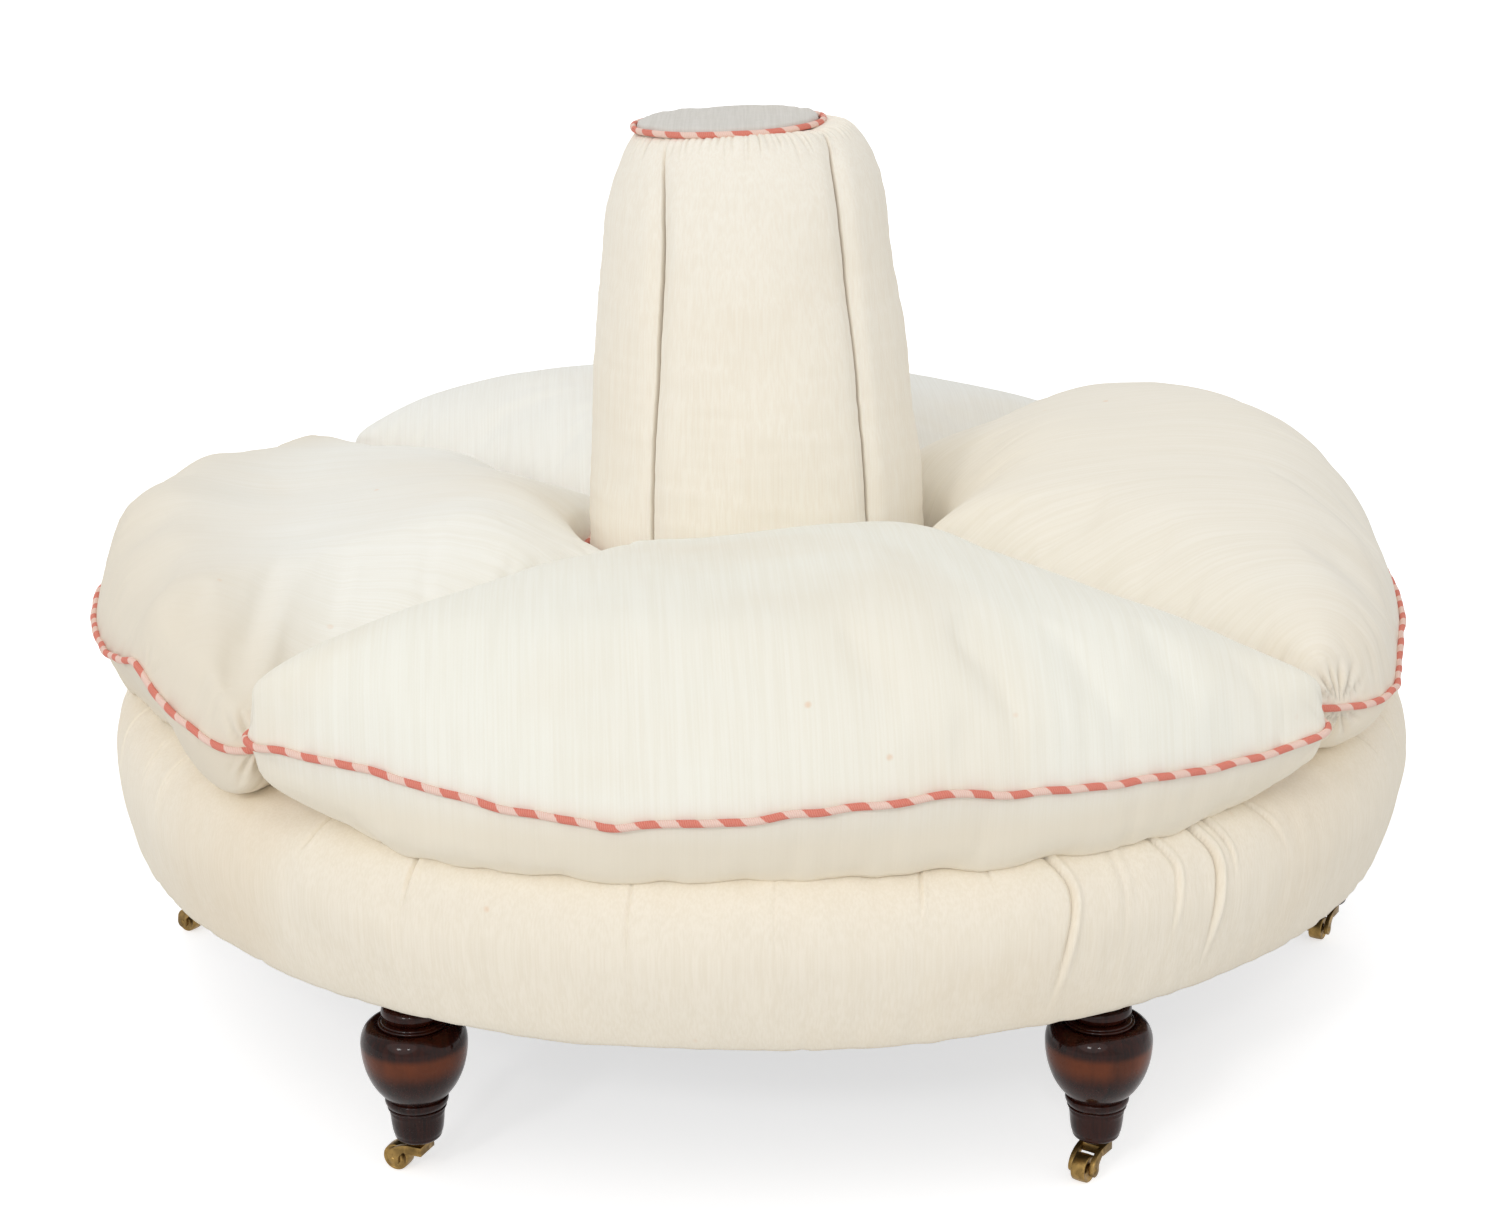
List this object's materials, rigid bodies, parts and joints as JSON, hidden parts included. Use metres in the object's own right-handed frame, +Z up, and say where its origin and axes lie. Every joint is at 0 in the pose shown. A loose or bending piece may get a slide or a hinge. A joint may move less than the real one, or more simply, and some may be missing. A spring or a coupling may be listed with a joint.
{
  "type": "confidante sofa",
  "caption": "Round upholstered centre seat with loose quarter cushions, a padded central column and turned legs on swivelling casters.",
  "frame": {"origin": "on the floor, on the axis of the column", "axes": "+Z up; -Y towards the front of the picture's view, +X to the viewer's right"},
  "size_m": [1.3774, 1.3774, 0.893],
  "materials": {
    "leg_mahogany": "gloss",
    "caster_brass": "satin",
    "wheel_brass": "satin",
    "frame_beech": "matte",
    "jute": "matte",
    "black_cotton": "matte",
    "spring_steel": "satin",
    "stuffing": "matte",
    "seat_cloth": "matte",
    "column_cloth": "matte",
    "cushion_cloth": "matte",
    "striped_piping": "matte"
  },
  "bodies": {
    "root": {"frame_rail_1": "frame_beech", "frame_rail_2": "frame_beech", "frame_rail_3": "frame_beech", "frame_rail_4": "frame_beech", "frame_rail_5": "frame_beech", "frame_rail_6": "frame_beech", "cross_beam_long": "frame_beech", "cross_beam_short": "frame_beech", "webbing": "jute", "dust_cover": "black_cotton", "seat_spring_1": "spring_steel", "seat_spring_2": "spring_steel", "seat_spring_3": "spring_steel", "seat_spring_4": "spring_steel", "seat_spring_5": "spring_steel", "seat_spring_6": "spring_steel", "seat_spring_7": "spring_steel", "seat_spring_8": "spring_steel", "hessian": "jute", "seat_padding": "stuffing", "seat_cover": "seat_cloth", "column_post": "frame_beech", "column_top_board": "frame_beech", "column_padding": "stuffing", "column_cover": "column_cloth", "column_cap": "column_cloth", "column_cap_piping": "striped_piping", "leg_1": "leg_mahogany", "leg_2": "leg_mahogany", "leg_3": "leg_mahogany", "leg_4": "leg_mahogany", "leg_5": "leg_mahogany", "leg_6": "leg_mahogany", "caster_plate_1": "caster_brass", "caster_plate_2": "caster_brass", "caster_plate_3": "caster_brass", "caster_plate_4": "caster_brass", "caster_plate_5": "caster_brass", "caster_plate_6": "caster_brass"},
    "front_cushion": {"cushion_front": "cushion_cloth", "cushion_piping_front": "striped_piping"},
    "right_cushion": {"cushion_right": "cushion_cloth", "cushion_piping_right": "striped_piping"},
    "back_cushion": {"cushion_back": "cushion_cloth", "cushion_piping_back": "striped_piping"},
    "left_cushion": {"cushion_left": "cushion_cloth", "cushion_piping_left": "striped_piping"},
    "swivel_fork_1": {"caster_fork_1": "caster_brass"},
    "swivel_fork_2": {"caster_fork_2": "caster_brass"},
    "swivel_fork_3": {"caster_fork_3": "caster_brass"},
    "swivel_fork_4": {"caster_fork_4": "caster_brass"},
    "swivel_fork_5": {"caster_fork_5": "caster_brass"},
    "swivel_fork_6": {"caster_fork_6": "caster_brass"},
    "rolling_wheel_1": {"caster_wheel_1": "wheel_brass"},
    "rolling_wheel_2": {"caster_wheel_2": "wheel_brass"},
    "rolling_wheel_3": {"caster_wheel_3": "wheel_brass"},
    "rolling_wheel_4": {"caster_wheel_4": "wheel_brass"},
    "rolling_wheel_5": {"caster_wheel_5": "wheel_brass"},
    "rolling_wheel_6": {"caster_wheel_6": "wheel_brass"}
  },
  "joints": [
    {"name": "lift_front", "type": "slide", "parent": "root", "child": "front_cushion", "axis": [0, 0, 1], "range_m": [0, 0.55]},
    {"name": "lift_right", "type": "slide", "parent": "root", "child": "right_cushion", "axis": [0, 0, 1], "range_m": [0, 0.55]},
    {"name": "lift_back", "type": "slide", "parent": "root", "child": "back_cushion", "axis": [0, 0, 1], "range_m": [0, 0.55]},
    {"name": "lift_left", "type": "slide", "parent": "root", "child": "left_cushion", "axis": [0, 0, 1], "range_m": [0, 0.55]},
    {"name": "swivel_1", "type": "hinge", "parent": "root", "child": "swivel_fork_1", "pos_m": [0.61995, -0.00812, 0.0257], "axis": [0, 0, 1], "continuous": true},
    {"name": "swivel_2", "type": "hinge", "parent": "root", "child": "swivel_fork_2", "pos_m": [0.317, 0.53283, 0.0257], "axis": [0, 0, 1], "continuous": true},
    {"name": "swivel_3", "type": "hinge", "parent": "root", "child": "swivel_fork_3", "pos_m": [-0.30295, 0.54095, 0.0257], "axis": [0, 0, 1], "continuous": true},
    {"name": "swivel_4", "type": "hinge", "parent": "root", "child": "swivel_fork_4", "pos_m": [-0.61995, 0.00812, 0.0257], "axis": [0, 0, 1], "continuous": true},
    {"name": "swivel_5", "type": "hinge", "parent": "root", "child": "swivel_fork_5", "pos_m": [-0.317, -0.53283, 0.0257], "axis": [0, 0, 1], "continuous": true},
    {"name": "swivel_6", "type": "hinge", "parent": "root", "child": "swivel_fork_6", "pos_m": [0.30295, -0.54095, 0.0257], "axis": [0, 0, 1], "continuous": true},
    {"name": "roll_1", "type": "hinge", "parent": "swivel_fork_1", "child": "rolling_wheel_1", "pos_m": [0.60895, -0.02717, 0.013], "axis": [0.866, -0.5, 0], "continuous": true},
    {"name": "roll_2", "type": "hinge", "parent": "swivel_fork_2", "child": "rolling_wheel_2", "pos_m": [0.29706, 0.52353, 0.013], "axis": [0.4226, -0.9063, 0], "continuous": true},
    {"name": "roll_3", "type": "hinge", "parent": "swivel_fork_3", "child": "rolling_wheel_3", "pos_m": [-0.28389, 0.55195, 0.013], "axis": [-0.5, 0.866, 0], "continuous": true},
    {"name": "roll_4", "type": "hinge", "parent": "swivel_fork_4", "child": "rolling_wheel_4", "pos_m": [-0.63797, 0.02073, 0.013], "axis": [-0.5736, -0.8192, 0], "continuous": true},
    {"name": "roll_5", "type": "hinge", "parent": "swivel_fork_5", "child": "rolling_wheel_5", "pos_m": [-0.33725, -0.52424, 0.013], "axis": [-0.3907, -0.9205, 0], "continuous": true},
    {"name": "roll_6", "type": "hinge", "parent": "swivel_fork_6", "child": "rolling_wheel_6", "pos_m": [0.29033, -0.55897, 0.013], "axis": [0.8192, -0.5736, 0], "continuous": true}
  ]
}
